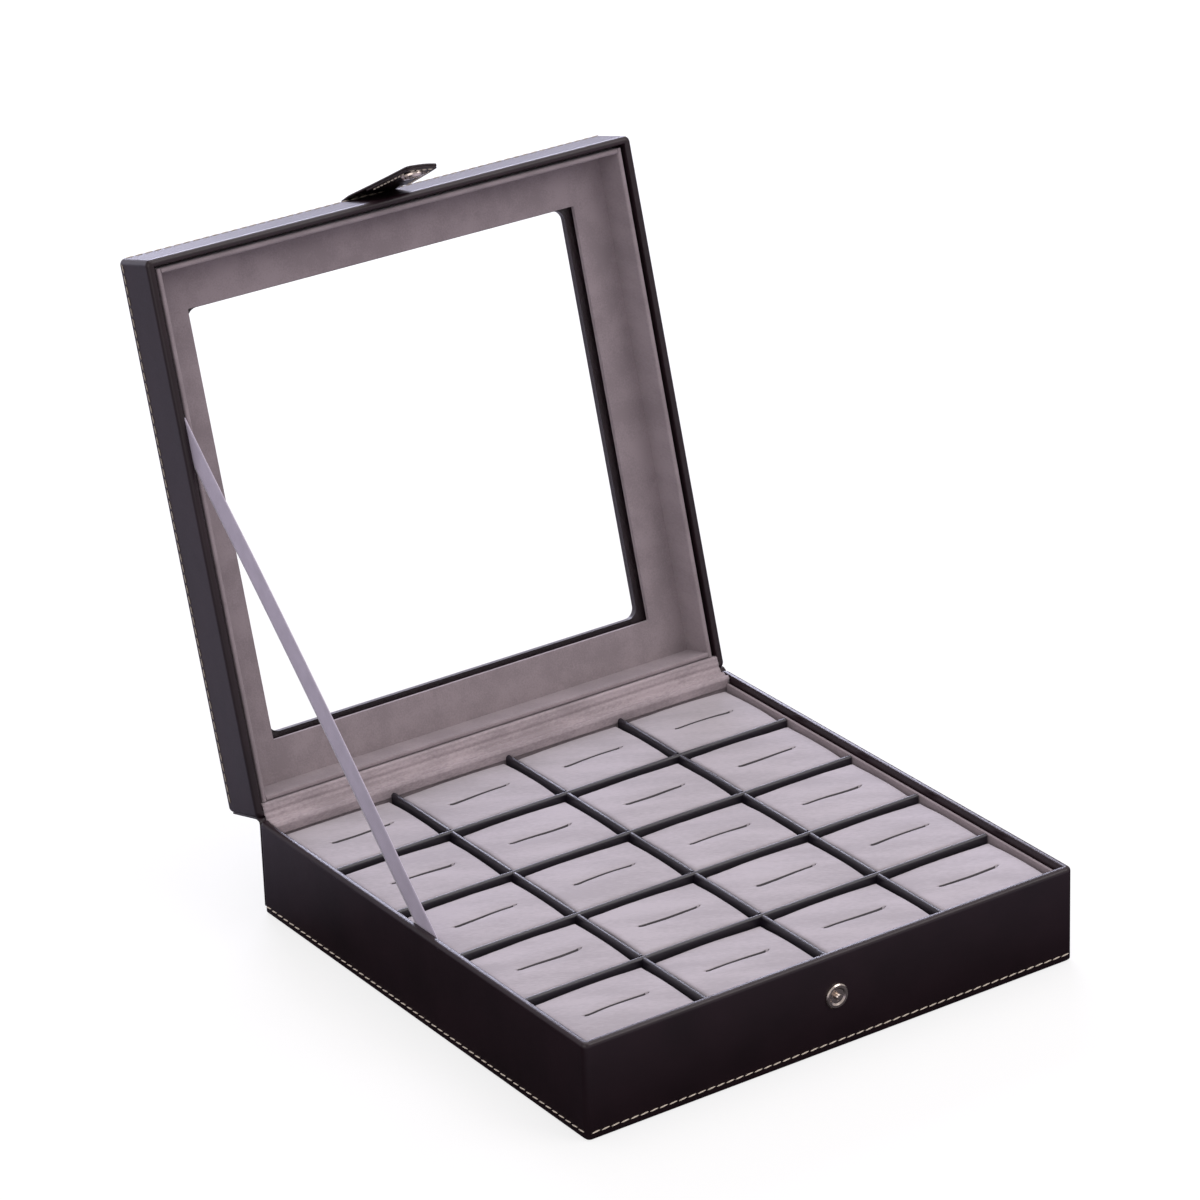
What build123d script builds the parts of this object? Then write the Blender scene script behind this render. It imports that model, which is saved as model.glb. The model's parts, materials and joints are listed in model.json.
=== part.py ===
from build123d import *
import math
import os

# Leather-covered cufflink box with a glass-topped lid, shown with the lid open.
# Millimetres.  Origin: centre of the underside.  +X right, -Y front, +Z up.
# Lid pieces are drawn with the lid shut and then swung open about the hinge line.

# ---------------------------------------------------------------- driving dimensions
box_width = 248.0            # outside, left to right
box_depth = 248.0            # outside, front to back
base_height = 44.0
lid_height = 25.8
lid_depth = 246.4            # the lid stops a little short of the base's front
seam_gap = 0.4               # between the shut lid and the base's rim
hinge_setback = 0.4          # hinge line behind the base's rear face
open_angle = 105.0           # how far the stay ribbon lets the lid swing

leather = 1.0                # outer covering
turn_in = 0.5                # leather folded over a rim and down the inside
turn_in_depth = 10.0
wall_board = 1.9             # greyboard inside each wall
corner_radius = 2.8          # upright corners, outside
rim_radius = 1.9             # outer edge of each rim
rim_inner_radius = 0.9       # inner edge of each rim
top_edge_radius = 1.4        # lid's top edges
foot_radius = 0.5            # leather's lower edge
wrap_foot = 0.6              # the covering stops this far above the table

bottom_cover = 1.2           # leather-covered sheet under the box
bottom_board = 3.0

liner = 1.3                  # velour-covered card inside the base's walls
rear_liner = 2.9             # the rear one is padded
liner_gap = 0.5              # behind the side liners, where the ribbon is tucked
rear_liner_gap = 0.3
liner_drop = 3.4             # liner top below the base's rim
liner_round = 0.6            # top edges of the base's liners

columns = 4
rows = 5
divider = 2.4                # leather-covered divider, rounded on top
divider_drop = 3.2           # divider top below the base's rim
divider_end_gap = 0.8
notch_play = 0.2             # half-lap slots are this much wider than a divider

pad_play = 1.0               # pad to divider, each side
pad_drop = 1.0               # pad crown below the divider tops
pad_crown = 2.6              # rise of the pad's top from corner to middle
pad_draw_in = 0.5            # how far each side pulls in between the corners
pad_corner = 3.0
pad_edge = 2.0               # rounding of the pad's top edge
slit_length = 32.0
slit_width = 1.0
slit_depth = 12.0

hinge_room = 0.8             # rims are lower here, so the hinge velour fits between
velour_strip = 0.7
velour_strip_tail = 5.0      # part glued down behind each rear liner's edge
velour_play = 0.2            # velour strip to the side rims, and to the lid's rear liner
velour_bend_base = 1.0       # its bends at the joint, in front of the base's rear face
velour_bend_lid = 0.8
hinge_leather_thickness = 0.8
hinge_leather_inset = 0.5    # its ends to the box's sides
hinge_leather_drop = 41.0    # how far down the base's rear wall it is glued
hinge_leather_rise = 23.0    # and how far over the lid's rear wall
hinge_bend_base = 0.7        # its bends at the joint, below the base's rim
hinge_bend_lid = 1.2

lid_liner = 2.2
lid_liner_gap = 1.4          # dark groove between the lid's leather and its liner
lid_rear_gap = 2.9           # wider at the back, where the hinge velour goes in
lid_liner_drop = 1.6         # liner edge inside the rim
lid_liner_round = 1.0
frame_lining = 2.2           # velour-covered window frame under the glass
frame_lining_play = 0.2
glass = 2.0
glass_lap = 8.0              # glass beyond the opening, each side
top_board = 2.2
window_width = 195.0         # opening in the lid's leather
window_depth = 189.3
window_corner = 5.0
window_shift_x = -1.0        # the leather's opening isn't quite in the middle of the lid
window_shift_y = -0.65
lining_lap_x = 2.2           # the velour opening is this much larger, each side
lining_lap_y = 1.45
lining_window_corner = 0.6

ribbon_width = 11.5
ribbon_thickness = 0.35
ribbon_base_y = -3.3         # where it meets the base's rim, front to back
ribbon_lid_reach = 166.0     # where it meets the lid's rim, measured from the hinge
ribbon_tail = 10.0           # tucked and glued beyond each rim

tab_root_width = 25.6
tab_tip_width = 15.0
tab_length = 54.6
tab_taper_length = 51.0
tab_tip_bulge = 1.0
tab_tip_draw_in = 0.6        # from the end of the taper to the tip's corners
tab_tip_corner = 2.4
tab_layer = 0.9              # two layers of leather
tab_layer_setback = 0.1      # inner layer starts clear of the rolled root
tab_rest_angle = 12.8        # off the lid's front wall, as photographed
tab_tail_length = 18.0       # sewn to the top of the lid
tab_tail_thickness = 1.1
tab_clearance = 0.15         # tab's rolled root to the lid
tab_axis_rise = 0.2

snap_height = 24.6           # stud centre above the table
snap_radius = 5.5
stud_flange = 0.6
stud_rim = 1.1               # dished ring's outer lip
stud_rim_slope = 0.5         # lip's outer slope
stud_dish_radius = 4.0
stud_dish_slope = 0.8
stud_post_radius = 1.5
stud_post_height = 2.3
rivet_radius = 1.3
rivet_head_radius = 3.2
rivet_head = 0.5
socket_height = 1.9
socket_flange = 0.9          # straight part of its height
socket_lip_slope = 0.6
socket_bore_radius = 2.9
socket_bore_depth = 1.6
socket_shank_radius = 1.6
socket_shank = 0.7
snap_gap = 0.9               # stud lip to socket when the tab is pressed shut

# ---------------------------------------------------------------- worked out
half_width = box_width / 2
half_depth = box_depth / 2
rim_width = leather + wall_board + turn_in
board_corner_radius = corner_radius - leather
inside_width = box_width - 2 * rim_width
inside_depth = box_depth - 2 * rim_width
lid_inside_depth = lid_depth - 2 * rim_width
hinge_y = half_depth + hinge_setback
hinge_z = base_height + seam_gap
lid_front_y = hinge_y - lid_depth
lid_middle_y = hinge_y - lid_depth / 2
lid_top_z = hinge_z + lid_height

floor_z = bottom_cover + bottom_board
liner_top_z = base_height - liner_drop
rear_rim_z = base_height - hinge_room
inner_left = -half_width + rim_width + liner_gap + liner
inner_width = -2 * inner_left
inner_front = -half_depth + rim_width + liner
inner_rear = half_depth - rim_width - rear_liner_gap - rear_liner
inner_depth = inner_rear - inner_front
divider_top_z = base_height - divider_drop
column_pitch = (inner_width + divider) / columns
row_pitch = (inner_depth + divider) / rows

glass_top_z = lid_top_z - leather - top_board
lining_top_z = glass_top_z - glass
lining_z = lining_top_z - frame_lining

tab_axis_y = lid_front_y - tab_layer - tab_clearance
tab_axis_z = lid_top_z + tab_axis_rise
snap_reach = tab_axis_z - snap_height          # stud to the tab's root


# ---------------------------------------------------------------- small helpers
def block(x0, x1, y0, y1, z0, z1):
    """A box between two corners."""
    shape = Box(x1 - x0, y1 - y0, z1 - z0)
    return Pos((x0 + x1) / 2, (y0 + y1) / 2, (z0 + z1) / 2) * shape


def centred_block(width, depth, y, z0, z1):
    """A box centred on x = 0 and on the given y."""
    return block(-width / 2, width / 2, y - depth / 2, y + depth / 2, z0, z1)


def window(width, depth, corner, y, z0, z1):
    """A round-cornered opening as a solid to cut with."""
    face = RectangleRounded(width, depth, corner)
    return Pos(0, y, z0) * extrude(face, z1 - z0)


def swung_open(shape):
    """Swing a piece drawn on the shut lid to where the open lid holds it."""
    return shape.rotate(Axis((0, hinge_y, hinge_z), (1, 0, 0)), -open_angle)


def swung_point(y, z):
    """The same for one point of a section, as (y, z)."""
    turn = math.radians(open_angle)
    dy = y - hinge_y
    dz = z - hinge_z
    new_y = hinge_y + dy * math.cos(turn) + dz * math.sin(turn)
    new_z = hinge_z - dy * math.sin(turn) + dz * math.cos(turn)
    return (new_y, new_z)


def strip_section(points, thickness):
    """Outline of a bent strip of even thickness along a line of (y, z) points."""
    left = []
    right = []
    for index, (y, z) in enumerate(points):
        before = points[max(index - 1, 0)]
        after = points[min(index + 1, len(points) - 1)]
        angles = []
        for start, end in ((before, (y, z)), ((y, z), after)):
            if start != end:
                angles.append(math.atan2(end[1] - start[1], end[0] - start[0]))
        turn = (angles[-1] - angles[0] + math.pi) % (2 * math.pi) - math.pi
        middle = angles[0] + turn / 2
        reach = thickness / 2 / math.cos(turn / 2)
        left.append((y - reach * math.sin(middle), z + reach * math.cos(middle)))
        right.append((y + reach * math.sin(middle), z - reach * math.cos(middle)))
    return left + right[::-1]


def strip_across(points, thickness, width):
    """A bent strip whose section lies in the YZ plane, centred on x = 0."""
    outline = Polyline(*strip_section(points, thickness), close=True)
    section = Plane.YZ * make_face(outline)
    return extrude(section, width / 2, both=True)


def upright_edges(shape):
    return shape.edges().filter_by(Axis.Z)


def rounded_block(width, depth, radius, y, z0, z1):
    """A centred box with rounded upright corners."""
    return fillet(upright_edges(centred_block(width, depth, y, z0, z1)), radius)


def hole_edges(face):
    """The edges round the hole in a flat rim."""
    return face.inner_wires()[0].edges()


def outer_corners(board, axis_end):
    """The two upright edges of a front (0) or rear (-1) board that meet the box's corners."""
    return upright_edges(board).group_by(Axis.Y)[axis_end]


def save(shape, node):
    export_step(shape, f"parts/{node}.step")


# ---------------------------------------------------------------- base: cover and boards
def base_boards():
    """Bottom sheet, bottom board and the four wall boards standing round it."""
    width = box_width - 2 * leather
    depth = box_depth - 2 * leather
    top = base_height - leather
    x1 = width / 2
    y1 = depth / 2
    save(rounded_block(width, depth, board_corner_radius, 0, 0, bottom_cover), "base_bottom_cover")
    inner_w = width - 2 * wall_board
    inner_d = depth - 2 * wall_board
    save(centred_block(inner_w, inner_d, 0, bottom_cover, floor_z), "base_bottom_board")
    front = block(-x1, x1, -y1, -y1 + wall_board, bottom_cover, top)
    front = fillet(outer_corners(front, 0), board_corner_radius)
    save(front - rivet_hole(), "base_front_board")
    rear = block(-x1, x1, y1 - wall_board, y1, bottom_cover, top - hinge_room)
    save(fillet(outer_corners(rear, -1), board_corner_radius), "base_rear_board")
    side_y = y1 - wall_board
    left = block(-x1, -x1 + wall_board, -side_y, side_y, bottom_cover, top)
    save(left, "base_left_board")
    save(mirror(left, Plane.YZ), "base_right_board")


def rivet_hole():
    """The hole that the snap stud's rivet fills, through leather and board."""
    length = leather + wall_board
    hole = Cylinder(rivet_radius, length, align=(Align.CENTER, Align.CENTER, Align.MIN))
    return Pos(0, -half_depth, snap_height) * Rot(-90, 0, 0) * hole


def base_leather():
    """Leather round all four walls, over the rim and a little way down the inside."""
    rim_z = base_height - leather
    skin = rounded_block(box_width, box_depth, corner_radius, 0, wrap_foot, base_height)
    skin = fillet(skin.edges().group_by(Axis.Z)[-1], rim_radius)
    skin = fillet(skin.edges().group_by(Axis.Z)[0], foot_radius)
    skin -= rounded_block(box_width - 2 * leather, box_depth - 2 * leather, board_corner_radius, 0, 0, rim_z)
    opening = centred_block(inside_width, inside_depth, 0, 0, base_height)
    skin -= opening
    skin = fillet(hole_edges(skin.faces().sort_by(Axis.Z)[-1]), rim_inner_radius)
    x0 = inside_width / 2
    y0 = inside_depth / 2
    skin -= block(-x0, x0, y0 - leather, half_depth + leather, rear_rim_z, base_height + leather)
    skin += block(-x0, x0, y0, half_depth - leather, rear_rim_z - leather, rear_rim_z)
    edge = 2 * turn_in
    ring = centred_block(inside_width + edge, inside_depth + edge, 0, rim_z - turn_in_depth, rim_z)
    ring -= opening
    ring -= block(-x0, x0, y0 - leather, half_depth, rear_rim_z - leather, base_height)
    skin += ring
    save(skin - rivet_hole(), "base_leather_wrap")


# ---------------------------------------------------------------- base: liners and dividers
def base_liners():
    """Velour-covered cards; the side ones leave a gap that the ribbon goes down."""
    side_front = -half_depth + rim_width
    side_rear = inner_rear - velour_strip
    left = block(inner_left - liner, inner_left, side_front, side_rear, floor_z, liner_top_z)
    left = fillet(left.edges().filter_by(Axis.Y).group_by(Axis.Z)[-1], liner_round)
    save(left, "base_left_liner")
    save(mirror(left, Plane.YZ), "base_right_liner")
    x1 = -inner_left
    front = block(-x1, x1, inner_front - liner, inner_front, floor_z, liner_top_z)
    front = fillet(front.edges().filter_by(Axis.X).group_by(Axis.Z)[-1], liner_round)
    save(front, "base_front_liner")
    x2 = x1 + liner
    rear = block(-x2, x2, inner_rear, inner_rear + rear_liner, floor_z, rear_rim_z)
    save(rear, "base_rear_liner")


def divider_centres(first, pitch, count):
    """Middle of each divider between a row of cells."""
    return [first + pitch * (index + 1) - divider / 2 for index in range(count)]


def dividers():
    """Half-lapped: the long ones are notched from above, the cross ones from below."""
    xs = divider_centres(inner_left, column_pitch, columns - 1)
    ys = divider_centres(inner_front, row_pitch, rows - 1)
    half_height_z = (floor_z + divider_top_z) / 2
    notch = divider + notch_play
    round_top = divider / 2 - 0.01 * divider
    y0 = inner_front + divider_end_gap
    y1 = inner_rear - divider_end_gap
    for number, x in enumerate(xs, start=1):
        wall = block(x - divider / 2, x + divider / 2, y0, y1, floor_z, divider_top_z)
        wall = fillet(wall.edges().filter_by(Axis.Y).group_by(Axis.Z)[-1], round_top)
        for y in ys:
            cut_x0 = x - divider
            cut_x1 = x + divider
            wall -= block(cut_x0, cut_x1, y - notch / 2, y + notch / 2, half_height_z, base_height)
        save(wall, f"divider_long_{number}")
    x0 = inner_left + divider_end_gap
    for number, y in enumerate(ys, start=1):
        wall = block(x0, -x0, y - divider / 2, y + divider / 2, floor_z, divider_top_z)
        wall = fillet(wall.edges().filter_by(Axis.X).group_by(Axis.Z)[-1], round_top)
        for x in xs:
            cut_y0 = y - divider
            cut_y1 = y + divider
            wall -= block(x - notch / 2, x + notch / 2, cut_y0, cut_y1, 0, half_height_z)
        save(wall, f"divider_cross_{number}")


# ---------------------------------------------------------------- base: cufflink pads
def pad_outline(width, depth):
    """A rectangle whose four sides pull in slightly between its corners."""
    x = width / 2
    y = depth / 2
    corners = [(-x, -y), (x, -y), (x, y), (-x, y)]
    middles = [(0, -y + pad_draw_in), (x - pad_draw_in, 0), (0, y - pad_draw_in), (-x + pad_draw_in, 0)]
    sides = []
    for index, middle in enumerate(middles):
        sides.append(ThreePointArc(corners[index], middle, corners[(index + 1) % 4]))
    return make_face(sides)


def pad_shape():
    """Foam block in velour: crowned top, drawn-in sides and a slit for the posts."""
    width = column_pitch - divider - 2 * pad_play
    depth = row_pitch - divider - 2 * pad_play
    crown_z = divider_top_z - pad_drop
    pad = Pos(0, 0, floor_z) * extrude(pad_outline(width, depth), crown_z - floor_z)
    pad = fillet(upright_edges(pad), pad_corner)
    half_diagonal = math.hypot(width, depth) / 2
    dome_radius = (half_diagonal ** 2 + pad_crown ** 2) / (2 * pad_crown)
    pad = pad & Pos(0, 0, crown_z - dome_radius) * Sphere(dome_radius)
    top = pad.faces().sort_by(Axis.Z)[-1]
    pad = fillet(top.edges(), pad_edge)
    end = slit_length / 2
    near = ThreePointArc((-end, 0), (0, -slit_width / 2), (end, 0))
    far = ThreePointArc((end, 0), (0, slit_width / 2), (-end, 0))
    slit = extrude(make_face([near, far]), slit_depth + pad_crown)
    return pad - Pos(0, 0, crown_z - slit_depth) * slit


def pads():
    """One pad in each cell, rows counted from the back, columns from the left."""
    pad = pad_shape()
    for row in range(rows):
        y = inner_rear - (row_pitch - divider) / 2 - row * row_pitch
        for column in range(columns):
            x = inner_left + (column_pitch - divider) / 2 + column * column_pitch
            save(Pos(x, y, 0) * pad, f"pad_row_{row + 1}_column_{column + 1}")


# ---------------------------------------------------------------- snap stud on the front
def facing_front(shape):
    """Stand a shape drawn about +Z on the base's front face, pointing forwards."""
    return Pos(0, -half_depth, snap_height) * Rot(90, 0, 0) * shape


def turned(points):
    """A solid of revolution about Z from (radius, height) points."""
    outline = Polyline(*points, close=True)
    return revolve(Plane.XZ * make_face(outline), Axis.Z)


def snap_stud():
    """Dished ring with a round-headed post, and the rivet that holds it."""
    neck = 0.8 * stud_post_radius
    ring = turned([
        (0, 0), (snap_radius, 0), (snap_radius, stud_flange), (snap_radius - stud_rim_slope, stud_rim),
        (stud_dish_radius, stud_rim), (stud_dish_radius - stud_dish_slope, stud_flange), (neck, stud_flange),
        (neck, 0.6 * stud_post_height), (stud_post_radius, 0.75 * stud_post_height),
        (neck, stud_post_height), (0, stud_post_height)])
    save(facing_front(ring), "snap_stud")
    depth = leather + wall_board
    rivet = turned([
        (0, 0), (rivet_radius, 0), (rivet_radius, -depth), (rivet_head_radius, -depth),
        (rivet_head_radius, -depth - rivet_head), (0, -depth - rivet_head)])
    save(facing_front(rivet), "snap_stud_rivet")


# ---------------------------------------------------------------- stay ribbon and hinge coverings
def stay_ribbon():
    """Taut at rest, from behind the base's left liner to behind the lid's."""
    base_end = (ribbon_base_y, base_height)
    lid_end = swung_point(hinge_y - ribbon_lid_reach, hinge_z)
    dy = lid_end[0] - base_end[0]
    dz = lid_end[1] - base_end[1]
    length = math.hypot(dy, dz) + 2 * ribbon_tail
    strip = Box(ribbon_thickness, length, ribbon_width)
    strip = strip.rotate(Axis.X, math.degrees(math.atan2(dz, dy)))
    x = -half_width + rim_width + ribbon_thickness / 2
    middle_y = (base_end[0] + lid_end[0]) / 2
    middle_z = (base_end[1] + lid_end[1]) / 2
    save(Pos(x, middle_y, middle_z) * strip, "stay_ribbon")
    print("ribbon, whole length:", round(length, 1), "free length:", round(length - 2 * ribbon_tail, 1))


def hinge_coverings():
    """Velour over both rear rims inside, and leather across the joint outside."""
    half = velour_strip / 2
    base_y = inner_rear - half
    base_z = rear_rim_z + half
    lid_z = hinge_z + hinge_room - half
    lid_u = rim_width + lid_rear_gap - half - 2 * velour_play
    line = [
        (base_y, base_z - velour_strip_tail),
        (base_y, base_z),
        (half_depth - velour_bend_base, base_z),
        swung_point(hinge_y - velour_bend_lid, lid_z),
        swung_point(hinge_y - lid_u, lid_z),
        swung_point(hinge_y - lid_u, lid_z + velour_strip_tail)]
    save(strip_across(line, velour_strip, inside_width - 2 * velour_play), "hinge_velour")
    half = hinge_leather_thickness / 2
    outer_y = half_depth + half
    line = [
        (outer_y, base_height - hinge_leather_drop),
        (outer_y, base_height - hinge_bend_base),
        swung_point(hinge_y + half, hinge_z + hinge_bend_lid),
        swung_point(hinge_y + half, hinge_z + hinge_leather_rise)]
    width = box_width - 2 * hinge_leather_inset
    save(strip_across(line, hinge_leather_thickness, width), "hinge_leather")


# ---------------------------------------------------------------- lid
def lid_boards():
    """Four wall boards and the window frame board that closes the top."""
    width = box_width - 2 * leather
    depth = lid_depth - 2 * leather
    x1 = width / 2
    y0 = lid_middle_y - depth / 2
    y1 = lid_middle_y + depth / 2
    z0 = hinge_z + leather
    front = block(-x1, x1, y0, y0 + wall_board, z0, glass_top_z)
    front = fillet(outer_corners(front, 0), board_corner_radius)
    rear = block(-x1, x1, y1 - wall_board, y1, z0 + hinge_room, glass_top_z)
    rear = fillet(outer_corners(rear, -1), board_corner_radius)
    left = block(-x1, -x1 + wall_board, y0 + wall_board, y1 - wall_board, z0, glass_top_z)
    save(swung_open(front), "lid_front_board")
    save(swung_open(rear), "lid_rear_board")
    save(swung_open(left), "lid_left_board")
    save(swung_open(mirror(left, Plane.YZ)), "lid_right_board")
    top = rounded_block(width, depth, board_corner_radius, lid_middle_y, glass_top_z, lid_top_z - leather)
    save(swung_open(top - leather_window(leather, glass_top_z, lid_top_z)), "lid_top_frame")


def leather_window(margin, z0, z1):
    """The opening in the lid's leather, made larger all round by a margin."""
    opening = window(window_width + 2 * margin, window_depth + 2 * margin, window_corner + margin,
                     lid_middle_y + window_shift_y, z0, z1)
    return Pos(window_shift_x, 0, 0) * opening


def lid_leather():
    """Leather over the lid's top and walls, round the window and over the rim."""
    skin = rounded_block(box_width, lid_depth, corner_radius, lid_middle_y, hinge_z, lid_top_z)
    skin = fillet(skin.edges().group_by(Axis.Z)[-1], top_edge_radius)
    skin = fillet(skin.edges().group_by(Axis.Z)[0], rim_radius)
    rim_z = hinge_z + leather
    skin_z = lid_top_z - leather
    skin -= rounded_block(box_width - 2 * leather, lid_depth - 2 * leather, board_corner_radius,
                          lid_middle_y, rim_z, skin_z)
    opening = centred_block(inside_width, lid_inside_depth, lid_middle_y, hinge_z, skin_z)
    skin -= opening
    skin = fillet(hole_edges(skin.faces().sort_by(Axis.Z)[0]), rim_inner_radius)
    x0 = inside_width / 2
    y0 = lid_middle_y + lid_inside_depth / 2
    rear_z = hinge_z + hinge_room
    skin -= block(-x0, x0, y0 - leather, hinge_y + leather, hinge_z - leather, rear_z)
    skin += block(-x0, x0, y0, hinge_y - leather, rear_z, rear_z + leather)
    edge = 2 * turn_in
    ring = centred_block(inside_width + edge, lid_inside_depth + edge, lid_middle_y, rim_z,
                         rim_z + turn_in_depth)
    ring -= opening
    ring -= block(-x0, x0, y0 - leather, hinge_y, hinge_z, rear_z + leather)
    skin += ring
    skin += leather_window(leather, glass_top_z, skin_z)
    skin -= leather_window(0, glass_top_z - leather, lid_top_z + leather)
    save(swung_open(skin), "lid_leather_wrap")


def lid_window():
    """Glass held between the top board and a velour-covered frame."""
    width = window_width + 2 * glass_lap
    depth = window_depth + 2 * glass_lap
    pane = centred_block(width, depth, lid_middle_y, lining_top_z, glass_top_z)
    save(swung_open(pane), "window_glass")
    inset = 2 * (leather + wall_board + frame_lining_play)
    frame = centred_block(box_width - inset, lid_depth - inset, lid_middle_y, lining_z, lining_top_z)
    frame -= window(window_width + 2 * lining_lap_x, window_depth + 2 * lining_lap_y,
                    lining_window_corner, lid_middle_y, lining_z, lining_top_z)
    save(swung_open(frame), "lid_frame_lining")


def lid_liners():
    """Velour-covered cards standing inside the lid's walls, short of the rim."""
    x1 = half_width - rim_width - lid_liner_gap
    y0 = lid_front_y + rim_width + lid_liner_gap
    y1 = hinge_y - rim_width - lid_rear_gap
    z0 = hinge_z + lid_liner_drop
    left = block(-x1, -x1 + lid_liner, y0, y1, z0, lining_z)
    left = fillet(left.edges().filter_by(Axis.Y).group_by(Axis.Z)[0], lid_liner_round)
    save(swung_open(left), "lid_left_liner")
    save(swung_open(mirror(left, Plane.YZ)), "lid_right_liner")
    x2 = x1 - lid_liner
    for node, start in (("lid_front_liner", y0), ("lid_rear_liner", y1 - lid_liner)):
        card = block(-x2, x2, start, start + lid_liner, z0, lining_z)
        card = fillet(card.edges().filter_by(Axis.X).group_by(Axis.Z)[0], lid_liner_round)
        save(swung_open(card), node)


# ---------------------------------------------------------------- closing tab
def tab_outline(start):
    """The tapering tab, drawn from its root at y = 0 towards its tip at -y."""
    root = tab_root_width / 2
    tip = tab_tip_width / 2
    slope = (root - tip) / tab_taper_length
    start_half = root - slope * start
    end = tab_taper_length
    shape = Polyline((-tip, -end), (-start_half, -start), (start_half, -start), (tip, -end))
    low_y = -tab_length + tab_tip_bulge
    low_x = tip - tab_tip_draw_in
    sides = [shape, Line((tip, -end), (low_x, low_y)), Line((-low_x, low_y), (-tip, -end))]
    sides.append(ThreePointArc((low_x, low_y), (0, -tab_length), (-low_x, low_y)))
    face = make_face(sides)
    return fillet(face.vertices().group_by(Axis.Y)[0], tab_tip_corner)


def on_tab(shape):
    """Place a shape drawn on the tab's plane, outside face up, then open the lid."""
    hung = Pos(0, tab_axis_y, tab_axis_z) * Rot(90 - tab_rest_angle, 0, 0) * shape
    return swung_open(hung)


def tab():
    """Two layers of leather with the snap socket, and the tail sewn to the lid."""
    roll = Rot(0, 90, 0) * Cylinder(tab_layer, tab_root_width)
    outer = extrude(tab_outline(0), tab_layer) + roll
    save(on_tab(outer), "tab_outer_leather")
    layer_start = tab_layer + tab_layer_setback
    shank = Pos(0, -snap_reach, -tab_layer) * Cylinder(
        socket_shank_radius, tab_layer, align=(Align.CENTER, Align.CENTER, Align.MIN))
    inner = Pos(0, 0, -tab_layer) * extrude(tab_outline(layer_start), tab_layer)
    save(on_tab(inner - shank), "tab_inner_leather")
    lip = snap_radius - socket_lip_slope
    socket = turned([
        (0, 0), (socket_shank_radius, 0), (socket_shank_radius, -socket_shank),
        (snap_radius, -socket_shank), (snap_radius, -socket_shank - socket_flange),
        (lip, -socket_shank - socket_height), (socket_bore_radius, -socket_shank - socket_height),
        (socket_bore_radius, -socket_shank - socket_height + socket_bore_depth),
        (0, -socket_shank - socket_height + socket_bore_depth)])
    seat = -tab_layer + socket_shank
    save(on_tab(Pos(0, -snap_reach, seat) * socket), "snap_socket")
    x1 = tab_root_width / 2
    tail_rear_y = lid_front_y + tab_tail_length
    tail = block(-x1, x1, lid_front_y, tail_rear_y, lid_top_z, lid_top_z + tab_tail_thickness)
    far_corners = upright_edges(tail).group_by(Axis.Y)[-1]
    save(swung_open(fillet(far_corners, tab_tip_corner)), "tab_tail")
    shut_y = half_depth + stud_rim + snap_gap + socket_height
    shut_angle = math.degrees(math.atan2(shut_y + tab_axis_y + tab_layer, snap_reach))
    print("tab angle off the front wall: rest", tab_rest_angle, "pressed shut", round(shut_angle, 2))


base_boards()
base_leather()
base_liners()
dividers()
pads()
snap_stud()
stay_ribbon()
hinge_coverings()
lid_boards()
lid_leather()
lid_window()
lid_liners()
tab()
print("hinge line y, z:", hinge_y, hinge_z)
print("tab axis shut y, z:", tab_axis_y, tab_axis_z, "open:", swung_point(tab_axis_y, tab_axis_z))
print("inside width, depth:", inner_width, inner_depth, "pitches:", column_pitch, row_pitch)
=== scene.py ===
"""Looks for a leather-covered cufflink box with a glass-topped lid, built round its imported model."""

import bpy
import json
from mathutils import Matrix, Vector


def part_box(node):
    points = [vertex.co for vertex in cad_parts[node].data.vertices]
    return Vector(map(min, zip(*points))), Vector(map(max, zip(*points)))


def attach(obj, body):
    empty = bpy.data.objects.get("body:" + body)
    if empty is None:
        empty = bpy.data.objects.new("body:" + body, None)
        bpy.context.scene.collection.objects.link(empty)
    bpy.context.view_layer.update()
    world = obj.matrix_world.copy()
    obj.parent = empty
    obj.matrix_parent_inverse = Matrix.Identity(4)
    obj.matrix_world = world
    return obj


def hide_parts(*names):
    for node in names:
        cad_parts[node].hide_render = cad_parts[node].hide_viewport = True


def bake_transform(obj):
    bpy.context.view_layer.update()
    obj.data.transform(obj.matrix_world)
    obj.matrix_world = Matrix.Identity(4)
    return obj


bl_info = {
    "name": "Cufflink Box",
    "version": (1, 0, 0),
    "blender": (4, 5, 0),
    "location": "View3D > Sidebar > Cufflink Box",
    "description": "Dresses a leather cufflink box with velour pads, ribbon, snap tab and stitching",
    "category": "Add Mesh",
}

import json
import math
import random

import bmesh
import bpy
from bpy.props import FloatProperty, FloatVectorProperty, IntProperty, PointerProperty
from mathutils import Matrix, Vector, noise as field_noise

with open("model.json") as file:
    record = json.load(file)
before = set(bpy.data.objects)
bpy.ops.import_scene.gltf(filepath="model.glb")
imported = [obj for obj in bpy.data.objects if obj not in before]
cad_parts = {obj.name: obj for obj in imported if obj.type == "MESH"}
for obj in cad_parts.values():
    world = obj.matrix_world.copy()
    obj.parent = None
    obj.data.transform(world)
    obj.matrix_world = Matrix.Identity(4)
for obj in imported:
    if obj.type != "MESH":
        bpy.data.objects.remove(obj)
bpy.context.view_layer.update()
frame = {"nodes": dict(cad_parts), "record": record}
MM = 0.001

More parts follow.
